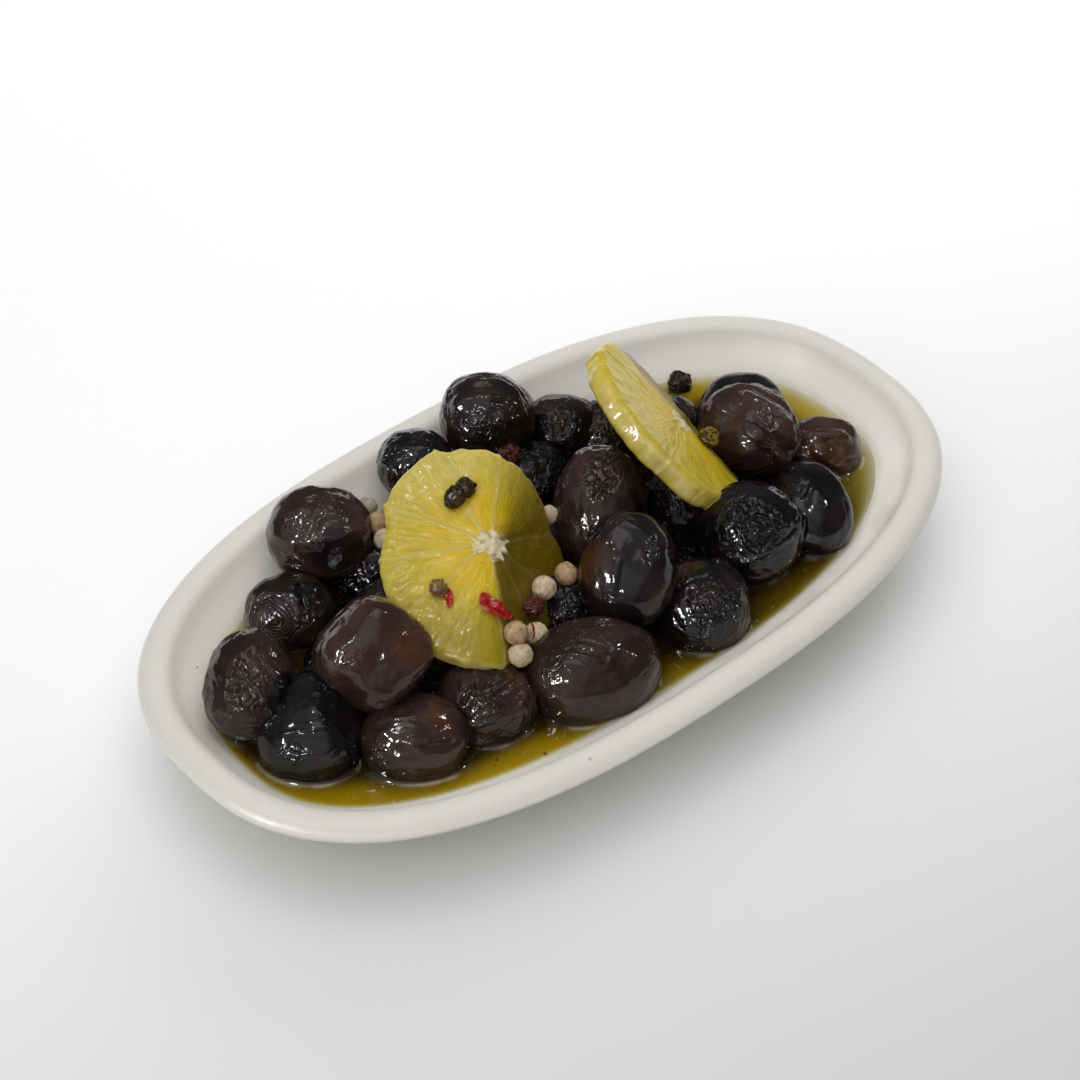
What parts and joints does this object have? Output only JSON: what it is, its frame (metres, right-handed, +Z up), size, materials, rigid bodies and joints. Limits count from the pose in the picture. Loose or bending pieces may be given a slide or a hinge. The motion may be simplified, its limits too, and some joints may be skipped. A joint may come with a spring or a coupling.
{
  "type": "dish of olives",
  "caption": "Oval boat-shaped dish of wrinkled black olives in oil, topped with peeled lemon slices and scattered peppercorns.",
  "frame": {"origin": "middle of the foot ring's flat underside, which is the bottom centre of the bounding box", "axes": "+X along the dish's long axis, +Y across it, +Z up"},
  "size_m": [0.2, 0.1136, 0.0516],
  "materials": {
    "cream_glaze": "glossy cream glaze",
    "olive_oil": "clear yellow-green oil",
    "olive_skin": "oiled wrinkled black skin",
    "lemon_flesh": "moist yellow pulp"
  },
  "bodies": {
    "root": {"dish": "cream_glaze", "oil": "olive_oil", "olive_heap": "olive_skin", "lemon_slice_front": "lemon_flesh", "lemon_slice_back": "lemon_flesh"}
  },
  "joints": []
}
